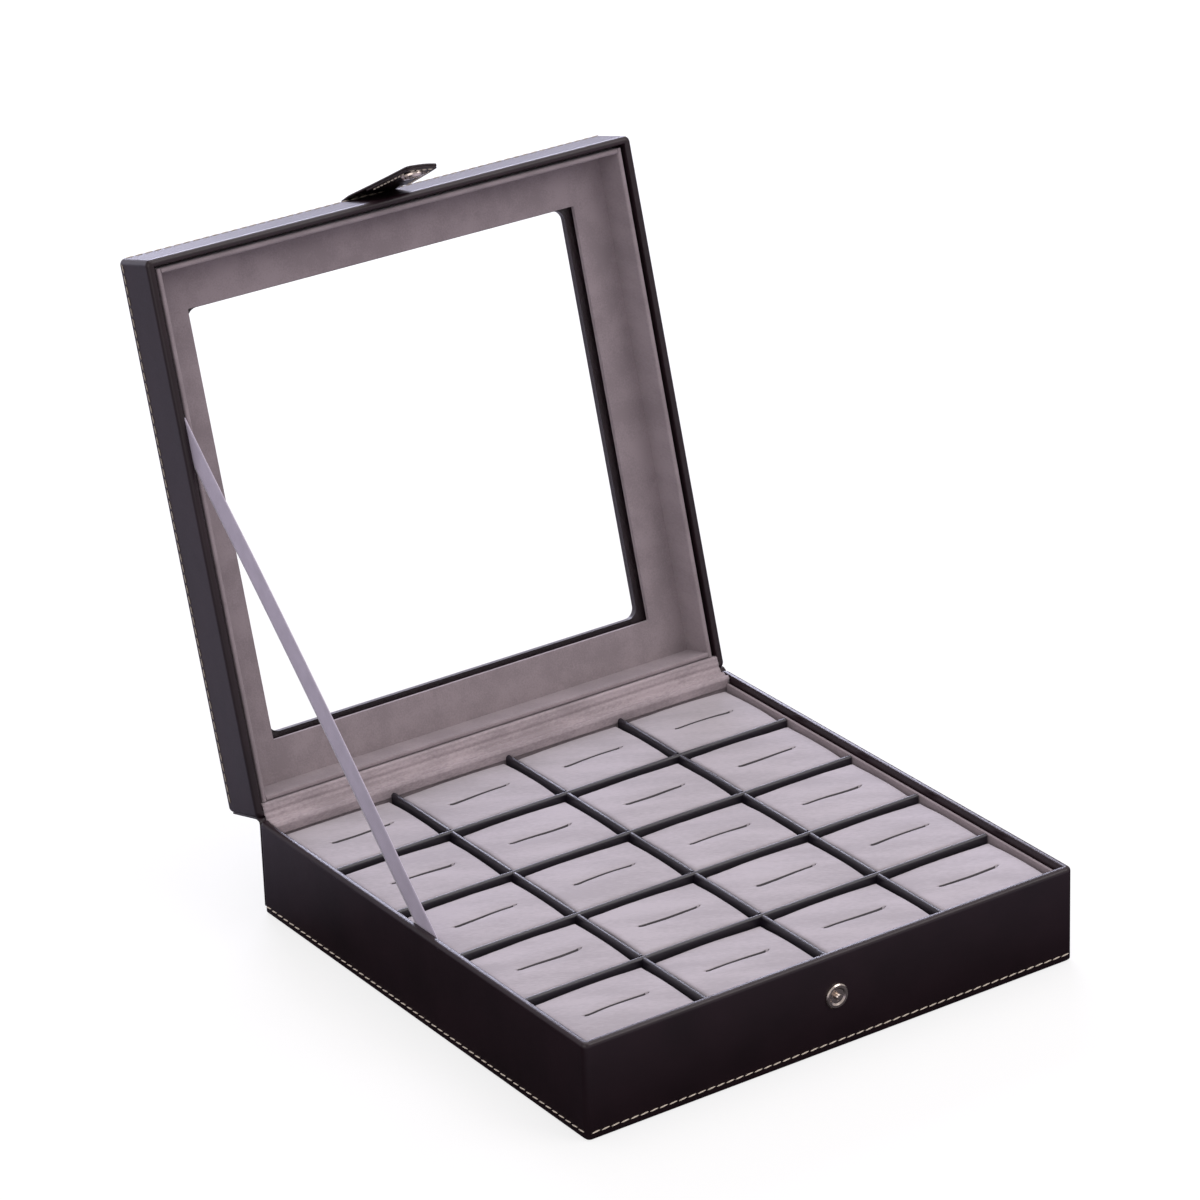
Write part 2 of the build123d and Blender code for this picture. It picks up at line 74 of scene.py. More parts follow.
# ------------------------------------------------------------------ places read from the frame
JOINTS = {joint["name"]: joint for joint in frame["record"]["behaviour"]["joints"]}
HINGE = Vector(JOINTS["lid_hinge"]["pos_m"])
OPEN_ANGLE = math.radians(JOINTS["lid_hinge"]["range_deg"][1])
TAB_AXIS = Vector(JOINTS["tab_flex"]["pos_m"])
BASE_LOW, BASE_HIGH = (Vector(corner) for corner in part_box("base_leather_wrap"))
HALF_WIDTH = BASE_HIGH.x
HALF_DEPTH = BASE_HIGH.y
BASE_TOP = BASE_HIGH.z
PAD_ROWS = 5
PAD_COLUMNS = 4
LID_ALONG = Vector((0, -math.cos(OPEN_ANGLE), math.sin(OPEN_ANGLE)))     # open lid: hinge towards the tab
LID_OUT = Vector((0, math.sin(OPEN_ANGLE), math.cos(OPEN_ANGLE)))        # open lid: rim towards the window
AXIS_OFF_WALL = 1.05 * MM      # the tab's axis stands that far before the lid's front wall
AXIS_OVER_TOP = 0.2 * MM       # and that far over the lid's top
LID_FRONT = (TAB_AXIS - HINGE).dot(LID_ALONG) - AXIS_OFF_WALL
LID_TOP = (TAB_AXIS - HINGE).dot(LID_OUT) - AXIS_OVER_TOP


def hex_colour(text):
    """An sRGB hex value as linear red, green, blue, alpha."""
    parts = [int(text[index:index + 2], 16) / 255 for index in (1, 3, 5)]
    linear = [part / 12.92 if part <= 0.04045 else ((part + 0.055) / 1.055) ** 2.4 for part in parts]
    return (*linear, 1.0)


def times(colour, share):
    """A colour made darker or lighter, with full alpha."""
    return tuple(min(1, part * share) for part in colour[:3]) + (1,)


# ------------------------------------------------------------------ what a user would change
class CoverSettings(bpy.types.PropertyGroup):
    """Colours of the leather, velour, ribbon, thread and metal."""

    leather: FloatVectorProperty(name="Leather", description="Outer covering", subtype="COLOR", size=4,
                                 default=hex_colour("#22151a"), min=0, max=1)
    divider: FloatVectorProperty(name="Dividers", description="Covering of the dividers", subtype="COLOR", size=4,
                                 default=hex_colour("#18131d"), min=0, max=1)
    lining: FloatVectorProperty(name="Lining", description="Velour inside the lid and walls", subtype="COLOR", size=4,
                                default=hex_colour("#978c8f"), min=0, max=1)
    pad: FloatVectorProperty(name="Pads", description="Velour on the pads", subtype="COLOR", size=4,
                             default=hex_colour("#aca6aa"), min=0, max=1)
    ribbon: FloatVectorProperty(name="Ribbon", description="Satin stay ribbon", subtype="COLOR", size=4,
                                default=hex_colour("#c8c0d0"), min=0, max=1)
    thread: FloatVectorProperty(name="Thread", description="Waxed stitching thread", subtype="COLOR", size=4,
                                default=hex_colour("#f0e4d0"), min=0, max=1)
    nickel: FloatVectorProperty(name="Nickel", description="Plated press stud", subtype="COLOR", size=4,
                                default=hex_colour("#d9cdc2"), min=0, max=1)


class StitchSettings(bpy.types.PropertyGroup):
    """Sizes of the stitching."""

    pitch: FloatProperty(name="Pitch", description="From one stitch to the next", default=4.7 * MM, unit="LENGTH")
    length: FloatProperty(name="Stitch", description="Length that shows", default=4.3 * MM, unit="LENGTH")
    thickness: FloatProperty(name="Thread", description="Thread diameter", default=0.62 * MM, unit="LENGTH")
    foot_height: FloatProperty(name="Foot line", description="Line above the table", default=3.6 * MM, unit="LENGTH")
    lid_inset: FloatProperty(name="Lid line", description="Line below the lid's top", default=3.0 * MM, unit="LENGTH")


class TabSettings(bpy.types.PropertyGroup):
    """Sizes of the closing tab."""

    length: FloatProperty(name="Length", description="From the root to the tip", default=54.6 * MM, unit="LENGTH")
    root: FloatProperty(name="Root width", description="At the lid's edge", default=25.5 * MM, unit="LENGTH")
    tip: FloatProperty(name="Tip width", description="Before its rounded corners", default=14.8 * MM, unit="LENGTH")
    layer: FloatProperty(name="Leather", description="One layer's thickness", default=0.9 * MM, unit="LENGTH")
    tail: FloatProperty(name="Tail", description="Part sewn to the lid's top", default=18.0 * MM, unit="LENGTH")
    rest: FloatProperty(name="Rest", description="Off the lid's wall at the root, degrees", default=13.25)
    curl: FloatProperty(name="Curl", description="More degrees off the wall per millimetre", default=0.0442)
    twist: FloatProperty(name="Twist", description="Degrees about its length, at the tip", default=8.0)


class PadSettings(bpy.types.PropertyGroup):
    """Sizes of the pads."""

    crown: FloatProperty(name="Crown", description="Rise from corner to middle", default=1.2 * MM, unit="LENGTH")
    edge: FloatProperty(name="Edge", description="Rounding of the top edge", default=1.9 * MM, unit="LENGTH")
    slit: FloatProperty(name="Slit", description="Length of the slit", default=31.0 * MM, unit="LENGTH")
    slit_width: FloatProperty(name="Slit width", description="Opening of the slit", default=1.0 * MM, unit="LENGTH")
    seed: IntProperty(name="Seed", description="Small differences between the pads", default=7)


# ------------------------------------------------------------------ shader helpers
def add_node(tree, kind, settings=None, inputs=None, links=None):
    """Add one shader node, set its fields and sockets, and link its sockets from others."""
    node = tree.nodes.new(kind)
    for field, value in (settings or {}).items():
        setattr(node, field, value)
    for socket, value in (inputs or {}).items():
        node.inputs[socket].default_value = value
    for socket, source in (links or {}).items():
        tree.links.new(source, node.inputs[socket])
    return node


def new_material(name):
    """An empty node material and its tree."""
    material = bpy.data.materials.new(name)
    material.use_nodes = True
    material.node_tree.nodes.clear()
    return material, material.node_tree


def scaled_coords(tree, size, stretch=(1, 1, 1), turn=0.0):
    """Coordinates turned about Z, on which one unit of pattern is size metres."""
    coords = add_node(tree, "ShaderNodeTexCoord")
    return add_node(tree, "ShaderNodeMapping", {"vector_type": "TEXTURE"},
                    {"Scale": tuple(size / part for part in stretch), "Rotation": (0, 0, math.radians(turn))},
                    {"Vector": coords.outputs["Object"]})


def noise(tree, size, detail=2.0, stretch=(1, 1, 1), turn=0.0):
    """Noise whose blotches are about size metres across."""
    coords = scaled_coords(tree, size, stretch, turn)
    return add_node(tree, "ShaderNodeTexNoise", inputs={"Scale": 1.0, "Detail": detail},
                    links={"Vector": coords.outputs["Vector"]})


def mottled(tree, colour, factor, dark, light):
    """A colour that wanders between dark and light times itself as factor goes from 0 to 1."""
    ramp = add_node(tree, "ShaderNodeValToRGB", links={"Fac": factor})
    for stop, position, share in zip(ramp.color_ramp.elements, (0.3, 0.7), (dark, light)):
        stop.position = position
        stop.color = times(colour, share)
    return ramp.outputs["Color"]


def bump(tree, height, strength, distance, under=None):
    """Bump of that distance in metres, over another bump if there is one."""
    links = {"Height": height}
    if under is not None:
        links["Normal"] = under
    node = add_node(tree, "ShaderNodeBump", inputs={"Strength": strength, "Distance": distance}, links=links)
    return node.outputs["Normal"]


def seen_directly(tree):
    """1 where the camera looks, also through glass; 0 where a surface is only lit or mirrors."""
    path = add_node(tree, "ShaderNodeLightPath")
    seen = add_node(tree, "ShaderNodeMath", {"operation": "MAXIMUM"},
                    links={0: path.outputs["Is Camera Ray"], 1: path.outputs["Is Transmission Ray"]})
    return seen.outputs["Value"]


def finish_shader(tree, inputs, links):
    """The Principled shader and the output."""
    shader = add_node(tree, "ShaderNodeBsdfPrincipled", inputs=inputs, links=links)
    add_node(tree, "ShaderNodeOutputMaterial", links={"Surface": shader.outputs["BSDF"]})


# ------------------------------------------------------------------ materials
def smooth_leather(name, colour, roughness=0.34, grain=0.55 * MM, gloss=0.45, relief=1.0):
    """Pigment-finished smooth leather: pressed flat, so a fine cell grain with a soft sheen.
    The eye gets a near-black brown with a broad highlight that breaks up in the grain. Relief
    is less than 1 where the leather is pulled tight."""
    material, tree = new_material(name)
    patches = noise(tree, 26 * MM, 3.0)
    base = mottled(tree, colour, patches.outputs["Fac"], 0.8, 1.25)
    coords = scaled_coords(tree, grain)
    cells = add_node(tree, "ShaderNodeTexVoronoi", {"feature": "F1"}, {"Scale": 1.0, "Randomness": 0.9},
                     {"Vector": coords.outputs["Vector"]})
    pores = noise(tree, 0.9 * MM, 3.0)
    swell = noise(tree, 9 * MM, 1.0)
    normal = bump(tree, swell.outputs["Fac"], 0.35 * relief, 0.2 * MM)
    normal = bump(tree, pores.outputs["Fac"], 0.3 * relief, 0.04 * MM, normal)
    normal = bump(tree, cells.outputs["Distance"], 0.3 * relief, 0.03 * MM, normal)
    worn = add_node(tree, "ShaderNodeMapRange", inputs={"To Min": roughness - 0.06, "To Max": roughness + 0.08},
                    links={"Value": pores.outputs["Fac"]})
    finish_shader(tree, {"IOR": 1.5, "Specular IOR Level": gloss},
                  {"Base Color": base, "Roughness": worn.outputs["Result"], "Normal": normal})
    return material


def velour(name, colour, contrast=0.1, pile=0.7 * MM, brush=(1.0, 0.35, 1.0), turn=0.0):
    """Cotton-backed velour: a cut pile that is brushed one way, so it is matt with a pale edge
    sheen and soft patches. The pile is drawn coarser than the real 0.2 mm, to show."""
    material, tree = new_material(name)
    patches = noise(tree, 13 * MM, 4.0, brush, turn)
    fibres = noise(tree, pile, 3.0, brush, turn)
    both = add_node(tree, "ShaderNodeMath", {"operation": "MULTIPLY_ADD"}, {1: 0.6},
                    {0: fibres.outputs["Fac"], 2: patches.outputs["Fac"]})
    spread = add_node(tree, "ShaderNodeMapRange", inputs={"From Min": 0.45, "From Max": 1.15},
                      links={"Value": both.outputs["Value"]})
    base = mottled(tree, colour, spread.outputs["Result"], 1 - contrast, 1 + contrast)
    normal = bump(tree, patches.outputs["Fac"], 0.2, 0.3 * MM)
    normal = bump(tree, fibres.outputs["Fac"], 0.5, 0.12 * MM, normal)
    finish_shader(tree, {"Roughness": 0.95, "Specular IOR Level": 0.1, "Sheen Weight": 0.2,
                         "Sheen Roughness": 0.5, "Sheen Tint": (0.93, 0.9, 0.96, 1)},
                  {"Base Color": base, "Normal": normal})
    return material


def satin_ribbon(name, colour):
    """Woven polyester satin: fine ribs across the ribbon, about 0.9 mm apart, and a soft gloss."""
    material, tree = new_material(name)
    coords = add_node(tree, "ShaderNodeTexCoord")
    ribs = add_node(tree, "ShaderNodeTexWave", {"wave_type": "BANDS", "bands_direction": "X"},
                    {"Scale": 90.0, "Distortion": 0.15}, {"Vector": coords.outputs["UV"]})
    patches = noise(tree, 8 * MM, 2.0)
    base = mottled(tree, colour, patches.outputs["Fac"], 0.94, 1.06)
    normal = bump(tree, ribs.outputs["Fac"], 0.3, 0.05 * MM)
    finish_shader(tree, {"Roughness": 0.42, "Sheen Weight": 0.5, "Sheen Roughness": 0.35},
                  {"Base Color": base, "Normal": normal})
    return material


def waxed_thread(name, colour):
    """Bonded polyester thread: two plies twisted, waxed, so cream with faint dark twists."""
    material, tree = new_material(name)
    twist = noise(tree, 0.5 * MM, 2.0)
    base = mottled(tree, colour, twist.outputs["Fac"], 0.8, 1.05)
    normal = bump(tree, twist.outputs["Fac"], 0.5, 0.08 * MM)
    finish_shader(tree, {"Roughness": 0.6, "Sheen Weight": 0.15}, {"Base Color": base, "Normal": normal})
    return material


def nickel_plate(name, colour):
    """Nickel-plated brass, barrel polished: bright with a faint brushed blur."""
    material, tree = new_material(name)
    marks = noise(tree, 0.7 * MM, 3.0)
    gloss = add_node(tree, "ShaderNodeMapRange", inputs={"To Min": 0.14, "To Max": 0.3},
                     links={"Value": marks.outputs["Fac"]})
    base = mottled(tree, colour, marks.outputs["Fac"], 0.92, 1.03)
    normal = bump(tree, marks.outputs["Fac"], 0.15, 0.03 * MM)
    finish_shader(tree, {"Metallic": 1.0},
                  {"Base Color": base, "Roughness": gloss.outputs["Result"], "Normal": normal})
    return material


def float_glass(name):
    """Clear 2 mm float glass: what is behind shows unbent, under a faint mirror gloss. It is
    clear to views up to about 56 degrees off its face; flatter ones get a mirror."""
    material, tree = new_material(name)
    clear = add_node(tree, "ShaderNodeBsdfTransparent", inputs={"Color": hex_colour("#ffffff")})
    gloss = add_node(tree, "ShaderNodeBsdfGlossy", inputs={"Color": hex_colour("#ffffff"), "Roughness": 0.02})
    facing = add_node(tree, "ShaderNodeFresnel", inputs={"IOR": 1.2})
    mix = add_node(tree, "ShaderNodeMixShader",
                   links={0: facing.outputs["Fac"], 1: clear.outputs["BSDF"], 2: gloss.outputs["BSDF"]})
    add_node(tree, "ShaderNodeOutputMaterial", links={"Surface": mix.outputs["Shader"]})
    return material


def greyboard(name):
    """Grey chipboard with paper flecks, seen only at cut edges."""
    material, tree = new_material(name)
    flecks = noise(tree, 1.2 * MM, 4.0)
    base = mottled(tree, hex_colour("#6f6a62"), flecks.outputs["Fac"], 0.8, 1.15)
    normal = bump(tree, flecks.outputs["Fac"], 0.3, 0.1 * MM)
    finish_shader(tree, {"Roughness": 0.9}, {"Base Color": base, "Normal": normal})
    return material


MATERIALS = {}


def make_materials(covers):
    """All the finishes, made once."""
    MATERIALS.update({
        "leather": smooth_leather("Smooth_leather", covers.leather),
        "divider": smooth_leather("Divider_leather", covers.divider, 0.4, 0.5 * MM, gloss=0.8, relief=0.25),
        "lining": velour("Lining_velour", covers.lining),
        "pad": velour("Pad_velour", covers.pad, 0.09, 0.6 * MM, (1.0, 0.22, 1.0), 62.0),
        # Painted shade: the slit's faces get the pad velour at 0.22 of its brightness, for the shade down in the
        # groove.
        "slit": velour("Pad_velour_with_painted_slit_shade", times(covers.pad, 0.22)),
        # Painted light: the hinge strip is the lining velour made 1.25 times lighter, a lit copy of the same velour.
        "hinge": velour("Hinge_velour", times(covers.lining, 1.25), 0.16, 0.8 * MM, (0.5, 1.0, 1.0)),
        "strap": smooth_leather("Strap_leather", times(covers.leather, 0.4), gloss=0.3),
        "cut_edge": smooth_leather("Cut_leather_edge", hex_colour("#2c2224"), 0.6, 0.3 * MM),
        "ribbon": satin_ribbon("Satin_ribbon", covers.ribbon),
        "thread": waxed_thread("Waxed_thread", covers.thread),
        "lid_thread": waxed_thread("Lid_thread", times(covers.thread, 0.6)),
        "nickel": nickel_plate("Nickel_plate", covers.nickel),
        "glass": float_glass("Float_glass"),
        "board": greyboard("Greyboard"),
    })


def dress(node, finish):
    """Give a CAD node a finish."""
    mesh = frame["nodes"][node].data
    mesh.materials.clear()
    mesh.materials.append(MATERIALS[finish])


# ------------------------------------------------------------------ mesh helpers
def on_lid(x, reach, rise):
    """A point of the open lid: reach from the hinge towards the lid's front, rise above its rim."""
    cos, sin = math.cos(OPEN_ANGLE), math.sin(OPEN_ANGLE)
    return Vector((x, HINGE.y - reach * cos + rise * sin, HINGE.z + reach * sin + rise * cos))


def finished(name, bm, finish, body, replaces=()):
    """Turn a bmesh into a piece in the row's frame, riding on a body if one is given."""
    bmesh.ops.recalc_face_normals(bm, faces=bm.faces)
    mesh = bpy.data.meshes.new(name)
    bm.to_mesh(mesh)
    bm.free()
    mesh.materials.append(MATERIALS[finish])
    mesh.shade_smooth()
    piece = bpy.data.objects.new(name, mesh)
    bpy.context.collection.objects.link(piece)
    if body:
        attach(piece, body)
    if replaces:
        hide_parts(*replaces)
    return piece


def smooth_step(value, low, high):
    """0 below low, 1 above high, and a smooth rise between."""
    t = max(0.0, min(1.0, (value - low) / (high - low)))
    return t * t * (3 - 2 * t)


def wander(position, size, seed):
    """Smooth noise from -1 to 1 at a point, with hills about size metres apart."""
    return field_noise.noise(Vector(position) / size + Vector((seed, -seed, seed * 0.5)))


def sheet_grid(across, along, place):
    """A grid whose points go where place(u, v) says, u and v from 0 to 1, with a UV map in (u, v)."""
    bm = bmesh.new()
    layer = bm.loops.layers.uv.new("flat")
    bmesh.ops.create_grid(bm, x_segments=across, y_segments=along, size=0.5)
    spots = {vert: (vert.co.x + 0.5, vert.co.y + 0.5) for vert in bm.verts}
    for face in bm.faces:
        for loop in face.loops:
            loop[layer].uv = spots[loop.vert]
    for vert, (u, v) in spots.items():
        vert.co = place(u, v)
    return bm


def thicken(bm, thickness):
    """Give a grid its thickness, with its first face side kept in place."""
    bmesh.ops.recalc_face_normals(bm, faces=bm.faces)
    bmesh.ops.solidify(bm, geom=bm.faces[:], thickness=thickness)


def thick_grid(across, along, place, edge_material=0):
    """A closed thick sheet: place(u, v, back) gives a point of its face, or of its back."""
    bm = bmesh.new()
    bmesh.ops.create_grid(bm, x_segments=across, y_segments=along, size=0.5)
    made = bmesh.ops.extrude_face_region(bm, geom=bm.faces[:], use_keep_orig=True)["geom"]
    backs = {item for item in made if isinstance(item, bmesh.types.BMVert)}
    for face in bm.faces:
        face.material_index = edge_material if len({vert in backs for vert in face.verts}) == 2 else 0
    for vert in bm.verts:
        vert.co = place(min(1.0, vert.co.x + 0.5), min(1.0, vert.co.y + 0.5), vert in backs)
    return bm


def along_path(points, share):
    """The point at a share of the length of a line of points, and the direction there."""
    lengths = [(b - a).length for a, b in zip(points, points[1:])]
    left = share * sum(lengths)
    for index, length in enumerate(lengths):
        if left <= length or index == len(lengths) - 1:
            direction = (points[index + 1] - points[index]).normalized()
            return points[index] + direction * left, direction
        left -= length


# ------------------------------------------------------------------ pads
SLIT_SWAY = 0.4 * MM           # how far the slit strays from a straight line
SLIT_DEPTH = 4.5 * MM
DIMPLE_DEPTH = 0.5 * MM        # the velour is drawn down on both sides of the slit
DIMPLE_REACH = 3.2 * MM
SIDE_DRAW = 0.5 * MM           # the foam's sides are hollow by that much at their middles
SIDE_WAIST = 0.012             # share by which the sides narrow half way down
SIDE_STEPS = 5
PAD_GRID = 44
CROWDING = 1.7                 # how strongly the grid's lines crowd towards the slit


def slit_line(x, pads, seed):
    """Where the slit runs: not quite straight."""
    return SLIT_SWAY * math.sin(seed + x / pads.slit * 4.4)


def slit_share(x, y, pads, seed):
    """1 in the slit, 0 away from it."""
    off = abs(y - slit_line(x, pads, seed))
    inside = smooth_step(pads.slit / 2 - abs(x), -0.6 * MM, 0.6 * MM)
    return inside * (1 - smooth_step(off, pads.slit_width * 0.25, pads.slit_width * 0.75))


def pad_top(x, y, half_x, half_y, pads, seed):
    """Depth of the pad's top below its crown at one place."""
    from_side = min(half_x - abs(x), half_y - abs(y))
    dome = pads.crown * ((x / half_x) ** 2 * 0.45 + (y / half_y) ** 2 * 0.55)
    roll = max(0.0, pads.edge - from_side)
    edge = pads.edge - math.sqrt(max(0.0, pads.edge ** 2 - roll ** 2))
    inside = smooth_step(pads.slit / 2 - abs(x), -1.2 * MM, 2.5 * MM)
    dimple = DIMPLE_DEPTH * inside * math.exp(-((y - slit_line(x, pads, seed)) / DIMPLE_REACH) ** 2)
    groove = SLIT_DEPTH * slit_share(x, y, pads, seed)
    ripple = 0.16 * MM * wander((x, y, 0), 14 * MM, seed) + 0.05 * MM * wander((x, y, 0), 4 * MM, seed)
    return dome + edge + dimple + groove - ripple


def spaced(value, half):
    """Spread a grid's lines over -half to half, crowded towards the slit in the middle."""
    t = value * 2
    return half * math.copysign(abs(t) ** CROWDING, t)


def pad_mesh(low, high, pads, seed):
    """One pad: crowned, with drawn-in sides, a rolled edge and a slit that gapes a little."""
    centre = (low + high) / 2
    half_x = (high.x - low.x) / 2
    half_y = (high.y - low.y) / 2
    tilt = random.Random(seed)
    lean_x = tilt.uniform(-0.012, 0.012)
    lean_y = tilt.uniform(-0.004, 0.022)
    drop = tilt.uniform(0.0, 0.3) * MM
    bm = bmesh.new()
    bmesh.ops.create_grid(bm, x_segments=PAD_GRID, y_segments=PAD_GRID, size=0.5)
    for vert in bm.verts:
        x = vert.co.x * 2 * half_x
        y = spaced(vert.co.y, half_y)
        y += slit_line(x, pads, seed) * (1 - abs(y) / half_y)
        x *= 1 - SIDE_DRAW / half_x * (1 - (y / half_y) ** 2)
        y *= 1 - SIDE_DRAW / half_y * (1 - (x / half_x) ** 2)
        depth = pad_top(x, y, half_x, half_y, pads, seed)
        vert.co = (x, y, high.z - drop - depth + lean_x * x - lean_y * y)
    # Faces in the slit take the second velour, darkened as painted shade in the groove.
    for face in bm.faces:
        if sum(slit_share(vert.co.x, vert.co.y, pads, seed) > 0.5 for vert in face.verts) >= 2:
            face.material_index = 1
    rim = [edge for edge in bm.edges if edge.is_boundary]
    for step in range(1, SIDE_STEPS + 1):
        made = bmesh.ops.extrude_edge_only(bm, edges=rim)["geom"]
        rim = [item for item in made if isinstance(item, bmesh.types.BMEdge) and item.is_boundary]
        fresh = [item for item in made if isinstance(item, bmesh.types.BMVert)]
        share = step / SIDE_STEPS
        pull = 1 - SIDE_WAIST * math.sin(math.pi * share)
        for vert in fresh:
            vert.co.x *= pull
            vert.co.y *= pull
            vert.co.z += (low.z - vert.co.z) * share ** 1.6
    bmesh.ops.contextual_create(bm, geom=rim)
    bmesh.ops.translate(bm, verts=bm.verts, vec=(centre.x, centre.y, 0))
    return bm


class CUFFBOX_OT_pads(bpy.types.Operator):
    """Make the slit velour pads, one in each cell"""

    bl_idname = "cuffbox.pads"
    bl_label = "Pads"

    def execute(self, context):
        pads = context.scene.cuffbox_pads
        for row in range(1, PAD_ROWS + 1):
            for column in range(1, PAD_COLUMNS + 1):
                node = f"pad_row_{row}_column_{column}"
                low, high = (Vector(corner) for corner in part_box(node))
                bm = pad_mesh(low, high, pads, pads.seed + row * 10 + column)
                pad = finished(f"velour_{node}", bm, "pad", "base", [node])
                # The second velour, for the slit, carries its painted shade.
                pad.data.materials.append(MATERIALS["slit"])
        return {"FINISHED"}


# ------------------------------------------------------------------ hinge coverings and ribbon
RIM = 3.4 * MM                # leather, board and turned-in leather
HINGE_ROOM = 0.8 * MM         # both rear rims are this much lower, for the velour
LID_REAR_GAP = 2.9 * MM       # from the hinge's axis to the lid's rear wall


class CUFFBOX_OT_hinge_velour(bpy.types.Operator):
    """Make the creased velour strip that covers both rear rims inside the hinge"""

    bl_idname = "cuffbox.hinge_velour"
    bl_label = "Hinge velour"

    def execute(self, context):
        low, high = (Vector(corner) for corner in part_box("hinge_velour"))
        half = high.x
        inner_y = low.y
        ledge_z = BASE_TOP - 0.05 * MM
        rise = HINGE_ROOM - 0.75 * MM
        path = [Vector((0, inner_y, low.z)),
                Vector((0, inner_y - 0.2 * MM, ledge_z - 1.2 * MM)),
                Vector((0, inner_y + 0.7 * MM, ledge_z)),
                Vector((0, HALF_DEPTH - 2.0 * MM, ledge_z + 0.2 * MM)),
                Vector((0, HALF_DEPTH - 0.6 * MM, ledge_z + 0.7 * MM)),
                on_lid(0, 2.2 * MM, rise - 0.5 * MM),
                on_lid(0, 4.2 * MM, rise),
                on_lid(0, RIM + LID_REAR_GAP - 0.9 * MM, rise),
                on_lid(0, RIM + LID_REAR_GAP - 0.3 * MM, rise + 0.8 * MM),
                on_lid(0, RIM + LID_REAR_GAP - 0.3 * MM, rise + 4.0 * MM)]
        length = sum((b - a).length for a, b in zip(path, path[1:]))
        # Middle as a share of the path, then depth and width in millimetres.
        creases = ((0.36, 0.9, 0.8), (0.50, 0.9, 0.7), (0.63, 0.7, 0.7))

        def place(u, v):
            point, direction = along_path(path, v)
            x = (u * 2 - 1) * half
            point.x = x
            out = Vector((0, -direction.z, direction.y))
            fade = smooth_step(min(v, 1 - v), 0.0, 0.2)
            lift = 0.25 * MM * wander((x, v * length, 0), 9 * MM, 3.0)
            lift += 0.12 * MM * wander((x * 0.3, v * length, 0), 1.6 * MM, 8.0)
            for middle, depth, width in creases:
                centre = middle + 0.022 * wander((x, 0, 0), 34 * MM, middle * 50)
                lift -= depth * MM * math.exp(-((v - centre) * length / (width * MM)) ** 2)
            return point + out * lift * fade

        bm = sheet_grid(150, 46, place)
        thicken(bm, 0.6 * MM)
        piece = finished("velour_hinge_strip", bm, "hinge", None, ["hinge_velour"])
        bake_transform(piece)
        return {"FINISHED"}


class CUFFBOX_OT_hinge_leather(bpy.types.Operator):
    """Make the leather that crosses the joint behind the box"""

    bl_idname = "cuffbox.hinge_leather"
    bl_label = "Hinge leather"

    def execute(self, context):
        low, high = (Vector(corner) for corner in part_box("hinge_leather"))
        half = high.x
        reach = (high.y - HINGE.y) / math.sin(OPEN_ANGLE)
        path = [Vector((0, HALF_DEPTH + 0.05 * MM, low.z)),
                Vector((0, HALF_DEPTH + 0.05 * MM, BASE_TOP - 1.6 * MM)),
                Vector((0, HALF_DEPTH + 0.5 * MM, BASE_TOP - 0.5 * MM)),
                on_lid(0, -0.1 * MM, 2.4 * MM),
                on_lid(0, -0.05 * MM, reach)]

        def place(u, v):
            point, _ = along_path(path, v)
            point.x = (u * 2 - 1) * half
            return point

        bm = sheet_grid(60, 60, place)
        thicken(bm, -0.75 * MM)
        piece = finished("leather_hinge_strip", bm, "leather", None, ["hinge_leather"])
        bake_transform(piece)
        return {"FINISHED"}


class CUFFBOX_OT_ribbon(bpy.types.Operator):
    """Make the satin ribbon that stays the open lid"""

    bl_idname = "cuffbox.ribbon"
    bl_label = "Stay ribbon"

    def execute(self, context):
        low, high = (Vector(corner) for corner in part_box("stay_ribbon"))
        width = 11.5 * MM
        thickness = high.x - low.x
        span = high - low
        # The box round a slanted strip: its corners lie half a width past the middle line's ends.
        slope = math.atan2(span.z, span.y)
        for _ in range(20):
            slope = math.atan2(span.z - width * math.cos(slope), span.y - width * math.sin(slope))
        direction = Vector((0, math.cos(slope), math.sin(slope)))
        side = Vector((0, -math.sin(slope), math.cos(slope)))
        middle = (low + high) / 2
        length = (span.z - width * math.cos(slope)) / math.sin(slope)
        start = middle - direction * length / 2
        end = middle + direction * length / 2

        def place(u, v):
            point = start.lerp(end, u) + side * (v - 0.5) * width
            curl = 0.12 * MM * math.cos((v - 0.5) * math.pi * 2)
            ease = smooth_step(min(u, 1 - u), 0.05, 0.3)
            point.x = low.x + (0.9 * MM * math.sin(u * math.pi) + curl) * ease
            return point

        bm = sheet_grid(140, 8, place)
        thicken(bm, thickness)
        piece = finished("satin_stay_ribbon", bm, "ribbon", None, ["stay_ribbon"])
        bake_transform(piece)
        return {"FINISHED"}


# ------------------------------------------------------------------ stitching
SLANT = math.radians(6.0)      # of the foot and lid stitches to their line


def one_stitch(bm, centre, along, out, length, radius):
    """A stitch as a short plump capsule."""
    across = out.cross(along).normalized()
    axes = Matrix((along * length / 2, across * radius, out * radius)).transposed().to_4x4()
    bmesh.ops.create_uvsphere(bm, u_segments=8, v_segments=6, radius=1.0, matrix=Matrix.Translation(centre) @ axes)


def lay_stitches(bm, start, end, out, settings):
    """A row of stitches from start to end, sunk in the leather."""
    span = end - start
    count = max(1, round(span.length / settings.pitch))
    step = span / count
    along = (span.normalized() * math.cos(SLANT) + out.cross(span.normalized()) * math.sin(SLANT)).normalized()
    radius = settings.thickness / 2
    for index in range(count):
        centre = start + step * (index + 0.5) + out * radius * 0.35
        one_stitch(bm, centre, along, out, settings.length, radius)


